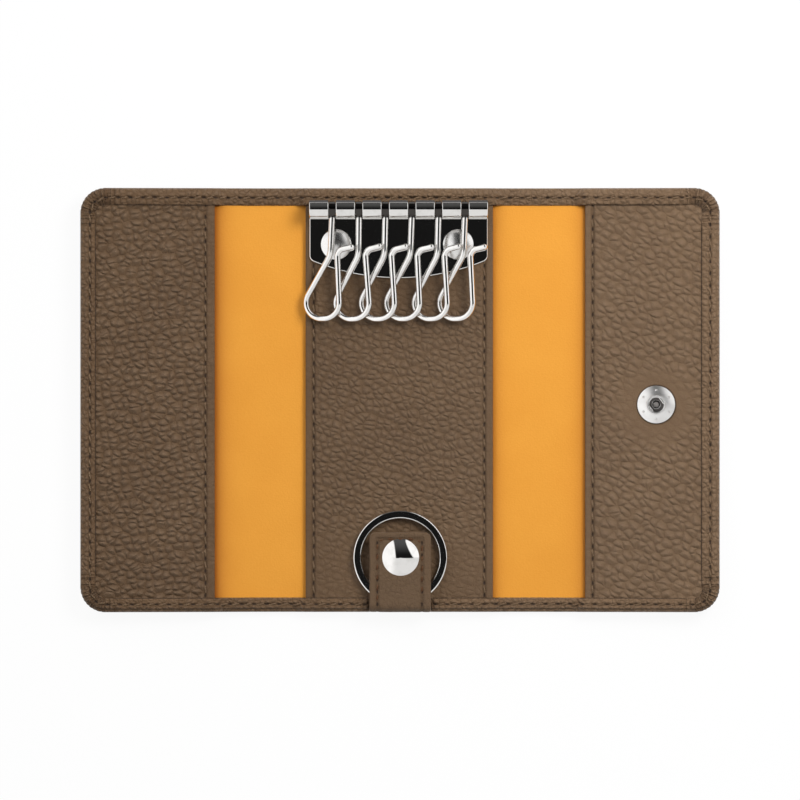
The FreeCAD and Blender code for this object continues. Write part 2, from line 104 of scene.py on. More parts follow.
def layMesh(name, points, faces, material, **spots):
    points = np.asarray(points, float)
    mesh = bpy.data.meshes.new(name)
    mesh.from_pydata((leanPoints(points) * mm).tolist(), [], faces)
    mesh.validate()
    n = len(mesh.vertices)
    # what the materials read at each point; some pieces add pucker, a dark cut edge with painted shade, and painted
    # shade on the lining
    plain = {
        "hide": points,                      # where this spot lies on the uncut hide
        "seam": [(0, noSeam, 0)] * n,        # along the stitch line, distance from it
        "grain": [1.0] * n,                  # how strongly the pebble shows
    }
    for key, values in {**plain, **spots}.items():
        values = np.asarray(values, np.float32)
        kind, field = ("FLOAT_VECTOR", "vector") if values.ndim == 2 else ("FLOAT", "value")
        spot = mesh.attributes.new(key, kind, "POINT")
        spot.data.foreach_set(field, values.ravel())
    mesh.shade_smooth()
    ob = bpy.data.objects.new(name, mesh)
    scene.collection.objects.link(ob)
    mesh.materials.append(material)
    return ob


def gridFaces(rows, cols, wrap=False, start=0):
    faces = []
    for r in range(rows - 1):
        here, above = start + r * cols, start + (r + 1) * cols
        for c in range(cols if wrap else cols - 1):
            d = (c + 1) % cols
            faces.append((here + c, here + d, above + d, above + c))
    return faces


def tubeFaces(rows, cols, start=0):          # rings joined up, closed at both ends
    last = start + (rows - 1) * cols
    ends = [tuple(range(start, start + cols))[::-1], tuple(range(last, last + cols))]
    return gridFaces(rows, cols, wrap=True, start=start) + ends


def turned(faces, flip):                     # mirrored pieces need their faces the other way round
    return [f[::-1] for f in faces] if flip else faces


def smooth(t):
    t = min(1.0, max(0.0, t))
    return t * t * (3 - 2 * t)


def bell(off, wide):
    return math.exp(-(off / wide) ** 2)


def quarter(steps):                          # angles of a quarter turn, without its start
    return [math.pi / 2 * k / steps for k in range(1, steps + 1)]


def ripple(x, y):                            # gentle unevenness of hand-laid leather, about -1 to 1
    return (math.sin(0.13 * x + 0.6) * math.sin(0.11 * y - 0.4)
            + 0.6 * math.sin(0.31 * x - 0.21 * y + 1.3)
            + 0.4 * math.sin(0.17 * x + 0.37 * y + 2.1)) / 2


# Materials are built from a few small node helpers


def plug(tree, socket, value):               # a link from another node, or the socket's own value
    if isinstance(value, bpy.types.NodeSocket):
        tree.links.new(value, socket)
    else:
        socket.default_value = value


def node(tree, kind, **props):
    n = tree.nodes.new(kind)
    for key, value in props.items():
        if key in n.inputs:
            plug(tree, n.inputs[key], value)
        else:
            setattr(n, key, value)
    return n


def newMaterial(name):
    mat = bpy.data.materials.new(name)
    mat.use_nodes = True
    tree = mat.node_tree
    return mat, tree, tree.nodes["Principled BSDF"]


def dress(tree, skin, values):
    for key, value in values.items():
        plug(tree, skin.inputs[key], value)


def addBump(tree, skin, height, strength, distance):
    bump = node(tree, "ShaderNodeBump", Strength=strength, Distance=distance, Height=height)
    tree.links.new(bump.outputs["Normal"], skin.inputs["Normal"])


def mathNode(tree, op, *values, **props):
    n = node(tree, "ShaderNodeMath", operation=op, **props)
    for socket, value in zip(n.inputs, values):
        plug(tree, socket, value)
    return n.outputs[0]


def times(tree, a, b):
    return mathNode(tree, "MULTIPLY", a, b)


def vectorNode(tree, op, *values):
    n = node(tree, "ShaderNodeVectorMath", operation=op)
    for socket, value in zip(n.inputs, values):
        plug(tree, socket, value)
    return n.outputs["Value" if op == "DISTANCE" else "Vector"]


def ramp(tree, value, lo, hi, toMin=0.0, toMax=1.0):
    n = node(tree, "ShaderNodeMapRange", interpolation_type="SMOOTHSTEP", Value=value)
    for key, number in (("From Min", lo), ("From Max", hi), ("To Min", toMin), ("To Max", toMax)):
        n.inputs[key].default_value = number
    return n.outputs["Result"]


def mixColour(tree, factor, a, b):
    n = node(tree, "ShaderNodeMix", data_type="RGBA")
    for i, value in ((0, factor), (6, a), (7, b)):
        plug(tree, n.inputs[i], (*value, 1) if isinstance(value, tuple) else value)
    return n.outputs[2]


def readSpot(tree, key, kind="Fac"):
    return node(tree, "ShaderNodeAttribute", attribute_name=key).outputs[kind]


def noise(tree, vector, scale, detail, **props):
    return node(tree, "ShaderNodeTexNoise", **props, Vector=vector, Scale=scale, Detail=detail).outputs["Fac"]


def cells(tree, vector, feature, scale, **props):
    n = node(tree, "ShaderNodeTexVoronoi", voronoi_dimensions="2D", feature=feature,
             Vector=vector, Scale=scale, **props)
    return n.outputs["Distance"]


leather = {
    # crown is a painted highlight on the pebble tops; crease is the leather's darker creases, partly painted shade
    "mid": (0.129, 0.077, 0.040), "crease": (0.052, 0.026, 0.012), "crown": (0.272, 0.186, 0.118),
    # hole is painted shade in the needle holes; cut is the hem's dark cut edge, partly painted shade, and a painted
    # shadow round the snap
    "hole": (0.030, 0.017, 0.010), "cut": (0.030, 0.016, 0.009),
    "roughness": (0.68, 0.44),               # in a crease, on a crown
    "specular": 0.30, "sheen": 0.03, "bump": 0.00050,
    "pull": (1.5, 1.5, 0),                   # mm by which the cells are pulled about
    "scales": {"wander": 0.34, "pores": 3.2, "cloud": 0.055, "fade": 0.45, "patches": 0.62},     # of its noises
    "uneven": 0.82, "wrinkleScale": 2.3,     # how irregular the cells are, how much finer the wrinkles are
    "creaseWidth": 0.12, "wrinkleWidth": 0.16,
    "domeShare": 0.75, "pillowShare": 0.30, "crownPower": 1.6,
    "snapFlat": (5.5, 13.0, 0.15, 1.0), "snapPaintedShadow": (4.7, 5.25, 0.9, 0.0),      # mm from its middle, then how much; the ring is a painted shadow round the snap's rim
    "needle": (0.46, 0.22),                  # half length and half width of a needle hole
    "tuckScale": (1.45, 0.16),               # along and across the hem
    "paintedLightRamp": (-70.0, 78.0),                   # painted light: the leather gets lighter from this x to this one
    # how much each mark adds to the height, and how strongly it tints
    "height": {"line": -0.38, "wrinkle": -0.26, "pores": 0.42, "hole": -0.9, "groove": -0.35, "tuck": -0.8},
    "tint": {"line": 0.85, "wrinkle": 0.6, "crown": 0.30, "cloud": 0.20, "pores": 0.34, "paintedLightRamp": 0.20,
             "groove": 0.30, "tuck": 0.42},
}


def leatherMaterial(name, look):
    # look: pebble size in mm, how far it stands out, how deep its creases are, how drawn-out it is,
    # which way it drifts, how light it is
    mat, tree, skin = newMaterial(name)
    mid, crease, paintedLightColour = [tuple(v * look["tone"] for v in leather[k]) for k in ("mid", "crease", "crown")]
    tint, scales = leather["tint"], leather["scales"]
    hide, seam = readSpot(tree, "hide", "Vector"), readSpot(tree, "seam", "Vector")
    grain, pucker, cut = [readSpot(tree, key) for key in ("grain", "pucker", "cut")]

    # turn and stretch the hide, then pull the cells about so that they run in loose drifts
    lay = node(tree, "ShaderNodeMapping", vector_type="TEXTURE", Vector=hide,
               Rotation=(0, 0, math.radians(look["drift"])), Scale=(look["stretch"], 1, 1))
    wander = node(tree, "ShaderNodeTexNoise", Vector=hide, Scale=scales["wander"], Detail=1.5, Roughness=0.5)
    drawn = vectorNode(tree, "MULTIPLY_ADD", wander.outputs["Color"], leather["pull"], lay.outputs[0])
    scale = 1 / look["cell"]
    middles = cells(tree, drawn, "SMOOTH_F1", scale, Randomness=leather["uneven"], Smoothness=0.5)
    edges = cells(tree, drawn, "DISTANCE_TO_EDGE", scale, Randomness=leather["uneven"])
    small = cells(tree, drawn, "DISTANCE_TO_EDGE", leather["wrinkleScale"] * scale, Randomness=1.0)
    pores = noise(tree, hide, scales["pores"], 3.0, Roughness=0.65)
    cloud = noise(tree, hide, scales["cloud"], 3.0)
    fade = noise(tree, hide, scales["fade"], 1.0)
    patches = noise(tree, hide, scales["patches"], 1.0)

    if "snap" in look:                       # pressed flat round the snap, with a painted shadow ring at its rim
        off = vectorNode(tree, "DISTANCE", hide, (*look["snap"], 0))
        grain = times(tree, grain, ramp(tree, off, *leather["snapFlat"]))
        cut = ramp(tree, off, *leather["snapPaintedShadow"])
    strength = times(tree, grain, look["relief"])
    depth = times(tree, grain, look["creases"])
    # soft domes, flattened a little towards their creases
    dome = times(tree, ramp(tree, middles, -0.05, 0.66, 1.0, 0.0), leather["domeShare"])
    pillow = times(tree, ramp(tree, edges, -0.10, 0.36), leather["pillowShare"])
    dome = mathNode(tree, "ADD", dome, pillow)
    # creases come and go along their length, and finer wrinkles lie between them in patches
    line = times(tree, ramp(tree, edges, 0.0, leather["creaseWidth"], 1.0, 0.0),
                 ramp(tree, fade, 0.34, 0.62, 0.15, 1.0))
    line = times(tree, line, depth)
    wrinkle = times(tree, ramp(tree, small, 0.0, leather["wrinkleWidth"], 1.0, 0.0),
                    ramp(tree, patches, 0.42, 0.66))
    wrinkle = times(tree, wrinkle, depth)

    # needle holes, the groove they sit in, and puckers where the hem turns a corner
    parts = node(tree, "ShaderNodeSeparateXYZ", Vector=seam).outputs
    along, aside = parts["X"], parts["Y"]
    step = mathNode(tree, "PINGPONG", along, case["pitch"] / 2)
    reach = [mathNode(tree, "POWER", mathNode(tree, "DIVIDE", way, size), 2.0)
             for way, size in zip((step, aside), leather["needle"])]
    hole = ramp(tree, mathNode(tree, "ADD", *reach), 0.40, 1.7, 0.85, 0.0)
    groove = ramp(tree, aside, 0.10, 0.80, 1.0, 0.0)
    alongScale, asideScale = leather["tuckScale"]
    hem = node(tree, "ShaderNodeCombineXYZ", X=times(tree, along, alongScale), Y=times(tree, aside, asideScale))
    tuck = noise(tree, hem.outputs[0], 1.0, 0.0, noise_dimensions="2D")
    tuck = times(tree, ramp(tree, tuck, 0.40, 0.56, 1.0, 0.0), pucker)

    marks = {"line": line, "wrinkle": wrinkle, "pores": pores, "hole": hole, "groove": groove, "tuck": tuck}
    height = times(tree, dome, strength)
    for key, mark in marks.items():
        height = mathNode(tree, "ADD", height, times(tree, mark, leather["height"][key]))
    addBump(tree, skin, height, 1.0, leather["bump"])

    lines = mathNode(tree, "MAXIMUM", line, times(tree, wrinkle, tint["wrinkle"]))
    crown = times(tree, mathNode(tree, "POWER", dome, leather["crownPower"]), tint["crown"])
    x = node(tree, "ShaderNodeSeparateXYZ", Vector=hide).outputs["X"]
    tone = mid
    for share, colour in (
            # the creases and wrinkles are darker, partly the leather's own colour and partly painted shade
            (mathNode(tree, "MULTIPLY", lines, tint["line"], use_clamp=True), crease),
            # painted highlight on the pebble tops
            (times(tree, crown, strength), paintedLightColour),
            (ramp(tree, cloud, 0.3, 0.7, 0.0, tint["cloud"]), crease),
            (ramp(tree, pores, 0.35, 0.70, tint["pores"], 0.0), crease),
            # painted light, lighter towards +x of the case
            (ramp(tree, x, *leather["paintedLightRamp"], 0.0, tint["paintedLightRamp"]), paintedLightColour),
            # painted shade in the stitch groove and in the pleats of the hem's corners
            (times(tree, groove, tint["groove"]), crease),
            (times(tree, tuck, tint["tuck"]), crease),
            # the hem's dark cut edge, partly painted shade, and the painted shadow ring round the snap
            (cut, leather["cut"]),
            # painted shade in the needle holes
            (hole, leather["hole"])):
        tone = mixColour(tree, share, tone, colour)
    dress(tree, skin, {"Base Color": tone, "Roughness": ramp(tree, height, -0.2, 1.0, *leather["roughness"]),
                       "Specular IOR Level": leather["specular"], "Sheen Weight": leather["sheen"]})
    return mat


lining = {
    # the lining's own orange, a shade of it for its random cloud and nap, and a painted shade colour for the panels'
    # shadows beside its edges
    "colour": (0.795, 0.345, 0.047), "shade": (0.63, 0.223, 0.020), "rubbed": (0.36, 0.095, 0.010),
    "roughness": (0.7, 0.62), "specular": 0.25, "strength": 0.35, "bump": 0.00012,
    "scales": {"nap": 2.4, "weave": 1.9, "cloud": 0.06},
    "cloudShare": 0.16, "napShare": 0.12, "weaveShare": 0.6,
    "thick": 0.4,
    "bend": (22, 47),                        # finest mesh where it bends, from the middle of the case outwards
    "across": (8, 60, 12, 8), "along": 70,   # mesh rows up to the bend, in it, beyond it and round the corners
    "cornerTurn": 0.97,                      # of a quarter turn
    "wavy": (24, 45), "wave": 0.10,          # where it isn't held flat, and by how much it waves
    "waveScale": (1.4, 1.2),
    "paintedShadeEdges": {"left": ((1.0, 1.9), (0.10, 0.8)), "right": ((0.66, 1.3), (0.66, 1.7))},   # painted shade cast by the panel edges beside each strip: how dark, mm wide
}


def liningMaterial(name):
    mat, tree, skin = newMaterial(name)
    hide, scales = readSpot(tree, "hide", "Vector"), lining["scales"]
    nap = noise(tree, hide, scales["nap"], 4.0, Roughness=0.65)
    weave = cells(tree, hide, "F1", scales["weave"], Randomness=0.8)
    cloud = noise(tree, hide, scales["cloud"], 2.0)
    height = mathNode(tree, "ADD", nap, times(tree, weave, lining["weaveShare"]))
    addBump(tree, skin, height, lining["strength"], lining["bump"])
    tone = lining["colour"]
    # cloud and nap vary the tone; the last entry is the painted shade beside the panel edges
    for share, colour in ((ramp(tree, cloud, 0.3, 0.7, 0.0, lining["cloudShare"]), lining["shade"]),
                          (ramp(tree, nap, 0.35, 0.75, lining["napShare"], 0.0), lining["shade"]),
                          (readSpot(tree, "rub"), lining["rubbed"])):
        tone = mixColour(tree, share, tone, colour)
    dress(tree, skin, {"Base Color": tone, "Roughness": ramp(tree, nap, 0.3, 0.7, *lining["roughness"]),
                       "Specular IOR Level": lining["specular"]})
    return mat


thread = {
    "colour": (0.350, 0.236, 0.142), "dark": (0.125, 0.074, 0.040), "roughness": 0.48, "specular": 0.30,
    "russet": (0.60, 0.40, 0.30),                     # cast of the strap's thread
    "twist": 1.7, "strength": 0.7, "bump": 0.00012,
    "lay": (3, 1.2),                                  # how the twist is laid along and round the thread
    "radius": 0.22, "thinEnd": 0.55, "flat": 0.8,     # the ends are thinner, and it lies a little flat
    "rise": 0.15, "sink": 0.22,                       # above the leather in the middle, below it at the holes
    "archPower": 0.7, "fatPower": 0.6,                # below 1, it rises and thickens quickly from its ends
    "gap": 0.42, "jitter": 0.03,                      # from the hole to the thread's end, how far it strays aside
    "sides": 7, "steps": 7,
}


def threadMaterial(name, cast=(1.0, 1.0, 1.0)):
    mat, tree, skin = newMaterial(name)
    twist = node(tree, "ShaderNodeTexWave", wave_type="BANDS", bands_direction="DIAGONAL",
                 Vector=readSpot(tree, "hide", "Vector"), Scale=thread["twist"],
                 Distortion=1.2, Detail=1.0).outputs["Fac"]
    addBump(tree, skin, twist, thread["strength"], thread["bump"])
    dark, light = [tuple(v * k for v, k in zip(thread[key], cast)) for key in ("dark", "colour")]
    dress(tree, skin, {"Base Color": mixColour(tree, twist, dark, light),
                       "Roughness": thread["roughness"], "Specular IOR Level": thread["specular"]})
    return mat


metal = {
    "rubScale": 420.0, "rubShare": 0.55,     # patches where the plating is rubbed dull
    "hazeScale": 2600.0, "strength": 0.05, "bump": 0.00002,
}


def metalMaterial(name, look, paintedDark=None):
    mat, tree, skin = newMaterial(name)
    place = node(tree, "ShaderNodeTexCoord").outputs["Object"]
    rub = noise(tree, place, metal["rubScale"], 4.0)
    haze = noise(tree, place, metal["hazeScale"], 2.0)
    tone = mixColour(tree, ramp(tree, rub, 0.4, 0.75, 0.0, metal["rubShare"]), look["colour"], look["dull"])
    shine = ramp(tree, rub, 0.35, 0.8, *look["roughness"])
    if paintedDark:                               # painted shade: darker, and duller where given, in the slots, well and bore; on the knuckles' back a painted dark reflection
        across = paintedDark["across"]
        middle = [v * k * mm for v, k in zip(paintedDark["at"], across)]
        inner, outer = paintedDark["reach"]
        off = vectorNode(tree, "DISTANCE", vectorNode(tree, "MULTIPLY", place, across), middle)
        inside = ramp(tree, off, inner * mm, outer * mm, 1.0, 0.0)
        tone = mixColour(tree, inside, tone, paintedDark["colour"])
        if "rough" in paintedDark:
            shine = mathNode(tree, "MAXIMUM", shine, times(tree, inside, paintedDark["rough"]))
    addBump(tree, skin, haze, metal["strength"], metal["bump"])
    dress(tree, skin, {"Base Color": tone, "Roughness": shine, "Metallic": 1.0})
    return mat


nickel = {"colour": (0.80, 0.785, 0.765), "dull": (0.66, 0.645, 0.62), "roughness": (0.03, 0.07)}
wire = {"colour": (0.82, 0.805, 0.785), "dull": (0.70, 0.685, 0.66), "roughness": (0.10, 0.15)}
satin = {"colour": (0.80, 0.79, 0.775), "dull": (0.70, 0.685, 0.67), "roughness": (0.25, 0.34)}
brushed = {"colour": (0.82, 0.81, 0.795), "dull": (0.70, 0.685, 0.67), "roughness": (0.36, 0.46)}
spring = {"colour": (0.84, 0.83, 0.81), "dull": (0.70, 0.69, 0.67), "roughness": (0.08, 0.16)}

# painted shade in the slots, socket well and eyelet bore, and a painted dark reflection on the knuckles' back: a point,
# the axes along which the distance from it counts, where the dark starts to fade and ends, in mm
snapAt = leanPoints(np.array([(*case["snap"], case["snapZ"])]))[0].tolist()
axleSlots = {"at": (0, 47.6, 6.0), "across": (0, 1, 1), "reach": (1.9, 2.4), "colour": (0.045, 0.040, 0.036)}
socketWell = {"at": snapAt, "across": (1, 1, 0), "reach": (1.75, 1.98), "colour": (0.20, 0.184, 0.176)}
eyeletBore = {"at": snapAt, "across": (1, 1, 1), "reach": (0.55, 0.80), "colour": (0.52, 0.49, 0.47), "rough": 0.6}
# painted dark reflection along the knuckles' back
knuckleBack = {"at": (0, 49.95, 0), "across": (0, 1, 0), "reach": (0.62, 0.78), "colour": (0.075, 0.068, 0.066)}

board = {"dark": (0.22, 0.20, 0.17), "light": (0.42, 0.39, 0.34), "roughness": 0.85, "fibreScale": 900.0}


def boardMaterial(name):
    mat, tree, skin = newMaterial(name)
    place = node(tree, "ShaderNodeTexCoord").outputs["Object"]
    fibre = noise(tree, place, board["fibreScale"], 5.0)
    dress(tree, skin, {"Base Color": mixColour(tree, fibre, board["dark"], board["light"]),
                       "Roughness": board["roughness"]})
    return mat


orange = liningMaterial("orange_lining")
tonalThread = threadMaterial("tonal_thread")
russetThread = threadMaterial("russet_thread", thread["russet"])
plated = metalMaterial("polished_nickel", nickel)
wirePlated = metalMaterial("wire_nickel", wire, axleSlots)
satinPlated = metalMaterial("satin_nickel", satin)
platePlated = metalMaterial("plate_nickel", nickel, knuckleBack)
socketPlated = metalMaterial("socket_nickel", brushed, socketWell)
eyeletPlated = metalMaterial("eyelet_nickel", nickel, eyeletBore)
springSteel = metalMaterial("spring_steel", spring)
greyBoard = boardMaterial("grey_board")
print("materials ready")


# Cover: outer face, rolled edge and the turned hem, swept round the outline

cover = {
    "grain": {"cell": 1.35, "relief": 1.15, "creases": 0.55, "stretch": 1.0, "drift": 0, "tone": 1.25},
    "hemGrain": 0.6,                         # the pebble is weaker on edge and hem
    "hem": {"left": 3.85, "right": 4.6, "head": 4.35, "foot": 3.6},       # widths
    "seam": {"side": 2.35, "head": 2.45, "foot": 1.95},                   # stitch line, from the outline
    "skive": 0.34, "fall": 0.30,             # how much the hem thins to its inner edge and slopes to its outer one
    "overPanel": 3.8, "overLining": 2.3, "underStrap": 1.15,              # heights of the hem's top
    "stepWidth": 2.6,                        # over which it comes down beside a panel
    "notch": (-7.8, 8.0),                    # gap in the foot hem for the strap
    "edge": 0.95, "edgePower": 0.8,          # depth of the rolled edge, and how full it is
    "lip": 0.42,                             # radius of the hem's inner edge
    "drop": (0.02, 0.95),                    # last row, on the panel: past the hem's width, below its top
    "darkLip": (0.24, 0.14, 0.55),           # dark cut edge, partly its own colour and partly painted shade: width, fade, how much less of it in the gathers
    "groove": 0.17, "outerGroove": 0.13, "grooveWidth": 0.26, "puff": 0.07,          # along the stitches
    "pleats": (0.12, 0.31, 0.47, 0.66, 0.83, 1.02, 1.18, 1.40), "pleatWidth": 0.030,   # round a corner, radians
    "pleatEdge": 0.10, "pleatTop": 0.09, "pleatLip": 0.12,                # how far a pleat draws the leather in
    "pleatFrom": 0.4, "pleatFade": 1.2,      # how far in a pleat starts on the hem, over how much it deepens
    "gatherFade": 5.0, "gatherSkive": 0.25, "puckerFrom": 3,              # row of the edge where puckers start
    "hemSlant": -0.28, "hemSunk": 0.16, "outerSlant": 0.2, "outerHeight": 0.2,         # how the two seams lie
    "strapClear": 0.6,                       # no stitches this close to the strap
    "alongHead": 110, "alongCorner": 57, "alongSide": 130, "edgeRows": 13, "lipRows": 5,
    # mesh rows beside the stitch line, on the outer face and on the hem
    "outerBeside": (1.2, 0.5, 0.25, 0.0, -0.25, -0.5),
    "hemBeside": (-1.15, -0.85, -0.55, -0.35, -0.2, -0.1, 0, 0.1, 0.2, 0.35, 0.55, 0.8),
    "outerFrom": 5.0,                        # the flat outer face ends here, from the outline
    "hemRest": 4, "hemRestFrom": 0.95,       # rows on to the hem's lip, and where they start
    "strapRows": (1.2, 0.1),                 # rows of the hem that the strap hides: the first one, step
}

hemLeather = leatherMaterial("turned_leather", cover["grain"])


def hemTop(x, y):
    top, low = cover["overPanel"], cover["overLining"]
    if abs(y) < case["endsFrom"]:
        return top
    for a, b in case["strips"].values():
        if a < x < b:
            return low + (top - low) * (1 - smooth(min(x - a, b - x) / cover["stepWidth"]))
    if y < 0 and cover["notch"][0] < x < cover["notch"][1]:
        return cover["underStrap"]
    return top


def outlineStations(side):
    # from the middle of the head edge, round the outer side, to the middle of the foot edge
    edge, head, foot, r = case[side], case["head"], case["foot"], case["corner"]
    sx = -1 if side == "left" else 1
    run = abs(edge) - r
    hem = cover["hem"]
    stations = []

    def addStation(point, inward, width, turn=None):
        stations.append({"p": point, "n": inward, "hem": width, "turn": turn})

    def addCorner(cy, begin, hemFrom, hemTo):
        steps = cover["alongCorner"]
        for k, a in enumerate(quarter(steps)[:-1], 1):
            ox, oy = sx * math.sin(begin + a), math.cos(begin + a)
            addStation((sx * run + r * ox, cy + r * oy), (-ox, -oy), hemFrom + (hemTo - hemFrom) * k / steps, a)

    xs = np.linspace(0, run, cover["alongHead"])
    for x in xs:
        addStation((sx * x, head), (0, -1), hem["head"])
    addCorner(head - r, 0, hem["head"], hem[side])
    for y in np.linspace(head - r, foot + r, cover["alongSide"]):
        addStation((edge, y), (-sx, 0), hem[side])
    addCorner(foot + r, math.pi / 2, hem[side], hem["foot"])
    for x in xs[::-1]:
        addStation((sx * x, foot), (0, 1), hem["foot"])

    s, last = 0.0, None
    for st in stations:
        (x, y), (nx, ny) = st["p"], st["n"]
        sideSeam, endSeam = cover["seam"]["side"], cover["seam"]["head" if y > 0 else "foot"]
        st["inset"] = sideSeam + smooth((abs(y) - head + r) / r) * (endSeam - sideSeam)
        st["seamPoint"] = (x + nx * st["inset"], y + ny * st["inset"])
        if last:
            s += math.dist(st["seamPoint"], last)
        last = st["seamPoint"]
        st["s"] = s
    return stations


def cornerGather(x, y):
    # 1 on a corner, fading out along the straight edges beside it
    r = case["corner"]
    past = max(case["right"] - r - abs(x), case["head"] - r - abs(y), 0.0)
    return 1 - smooth(past / cover["gatherFade"])


def pleat(turn):
    if turn is None:
        return 0.0
    return sum(bell(turn - a, cover["pleatWidth"]) for a in cover["pleats"])


def rimProfile(st):
    # (inset, height) from the outer face, over the edge, to the hem's inner edge, and the distances unrolled
    e, w, lip, inset = cover["edge"], st["hem"], cover["lip"], st["inset"]
    top = hemTop(*st["p"])
    pull = pleat(st["turn"])
    fall, skive = cover["fall"], cover["skive"] + cover["gatherSkive"] * cornerGather(*st["p"])
    underStrap = top == cover["underStrap"]
    if underStrap:
        fall, skive = 0.0, 0.0

    rows = [(cover["outerFrom"], 0.0)]
    rows += [(inset + v, cover["outerGroove"] * bell(v, cover["grooveWidth"])) for v in cover["outerBeside"]]
    full, middle = cover["edgePower"], (top - fall) / 2
    for k in range(cover["edgeRows"]):
        a = -math.pi / 2 + math.pi * k / (cover["edgeRows"] - 1)
        c, q = abs(math.cos(a)) ** full, math.copysign(abs(math.sin(a)) ** full, math.sin(a))
        rows.append((e - e * c + cover["pleatEdge"] * pull * c, middle + middle * q))

    places = [inset + v for v in cover["hemBeside"]]
    places += np.linspace(inset + cover["hemRestFrom"], w - lip, cover["hemRest"]).tolist()
    if underStrap:
        first, step = cover["strapRows"]
        rows += [(first + step * k, top) for k in range(len(places))]
    else:
        for d in places:
            groove = cover["groove"] * bell(d - inset, cover["grooveWidth"])
            puff = cover["puff"] * math.sin(math.pi * min(1, max(0, (d - e) / (inset - e))))
            puff -= fall * (1 - smooth(d / inset)) + skive * smooth((d - inset) / (w - inset))
            dip = cover["pleatTop"] * pull * smooth((d - cover["pleatFrom"]) / cover["pleatFade"])
            rows.append((d, top - groove + puff - dip))
    for a in quarter(cover["lipRows"]):
        rows.append((w - lip + lip * math.sin(a),
                     top - skive - lip + lip * math.cos(a) - cover["pleatLip"] * pull))
    across, down = cover["drop"]
    rows.append((w + across, top - down))

    unrolled = [-rows[0][0]]
    for before, row in zip(rows, rows[1:]):
        unrolled.append(unrolled[-1] + math.dist(row, before))
    return rows, unrolled


def coverHalf(side):
    stations = outlineStations(side)
    outerRows = 1 + len(cover["outerBeside"])
    hemFrom = outerRows + cover["edgeRows"]
    lipWide, lipFade, lipLess = cover["darkLip"]
    points, hide, seam, grain, pucker, cut = [], [], [], [], [], []
    for st in stations:
        rows, unrolled = rimProfile(st)
        sewnAt = np.interp(st["inset"], [row[0] for row in rows[hemFrom:]], unrolled[hemFrom:])
        (px, py), (nx, ny) = st["p"], st["n"]
        gather = cornerGather(px, py)
        raised = hemTop(px, py) > case["panelTop"]
        for i, ((d, z), u) in enumerate(zip(rows, unrolled)):
            outside = i < outerRows
            points.append((px + nx * d, py + ny * d, z))
            hide.append((px - nx * u, py - ny * u, 0))
            seam.append((st["s"], abs(d - st["inset"]) if outside else abs(u - sewnAt), 0))
            grain.append(1.0 if outside else cover["hemGrain"])
            pucker.append(gather if i > outerRows + cover["puckerFrom"] else 0.0)
            # the cut edge of the hem is dark, partly its own colour and partly painted shade, where it stands on a
            # panel, less so in the gathers
            lip = smooth((d - st["hem"] + lipWide) / lipFade) if raised and i >= hemFrom else 0.0
            cut.append(lip * (1 - lipLess * gather))
    n, cols, run = len(stations), len(rows), cover["alongHead"]
    faces = gridFaces(n, cols)
    # the outer face: strips across the case, so that it can bend at the fold, then one flat end
    for k in range(run - 1):
        faces.append((k * cols, (k + 1) * cols, (n - 2 - k) * cols, (n - 1 - k) * cols))
    faces.append(tuple(k * cols for k in range(run - 1, n - run + 1)))
    hull = layMesh("cover_" + side + "_leather", points, turned(faces, side == "left"), hemLeather,
                   hide=hide, seam=seam, grain=grain, pucker=pucker, cut=cut)
    return hull, stations


def stitchMesh(name, stitches, material, facing=1):
    # each stitch is one short thread arched between two needle holes: (from, to, height of the leather)
    points, hide, faces = [], [], []
    sides, steps = thread["sides"], thread["steps"]
    thin, sink = thread["thinEnd"], thread["sink"]
    layAlong, layRound = thread["lay"]
    for (ax, ay), (bx, by), z in stitches:
        length = math.dist((ax, ay), (bx, by))
        tx, ty = (bx - ax) / length, (by - ay) / length
        faces += tubeFaces(steps, sides, start=len(points))
        for k in range(steps):
            t = k / (steps - 1)
            arch = math.sin(math.pi * t)
            cx, cy = ax + (bx - ax) * t, ay + (by - ay) * t
            cz = z + facing * ((sink + thread["rise"]) * arch ** thread["archPower"] - sink)
            fat = thread["radius"] * (thin + (1 - thin) * arch ** thread["fatPower"])
            for j in range(sides):
                a = 2 * math.pi * j / sides
                aside, up = fat * math.cos(a), fat * math.sin(a) * thread["flat"]
                points.append((cx - ty * aside, cy + tx * aside, cz + up))
                hide.append((length * t * layAlong, a * layRound, 0))
    return layMesh(name, points, faces, material, hide=hide)


def seamStitches(path, heights, slant, pitch):
    # walk a line of (x, y) points and set a thread in each stitch length, turned a little across the line
    holes = []
    done, nextHole = 0.0, 0.0
    for (x0, y0), (x1, y1), z0, z1 in zip(path, path[1:], heights, heights[1:]):
        piece = math.dist((x0, y0), (x1, y1))
        while piece > 1e-9 and nextHole <= done + piece:
            t = (nextHole - done) / piece
            holes.append((x0 + (x1 - x0) * t, y0 + (y1 - y0) * t, z0 + (z1 - z0) * t))
            nextHole += pitch
        done += piece
    stitches = []
    gap = thread["gap"]
    for (ax, ay, az), (bx, by, bz) in zip(holes, holes[1:]):
        length = math.hypot(bx - ax, by - ay)
        ux, uy = (bx - ax) / length, (by - ay) / length
        off = slant + random.uniform(-thread["jitter"], thread["jitter"])
        stitches.append(((ax + ux * gap - uy * off, ay + uy * gap + ux * off),
                         (bx - ux * gap + uy * off, by - uy * gap - ux * off), (az + bz) / 2))
    return stitches


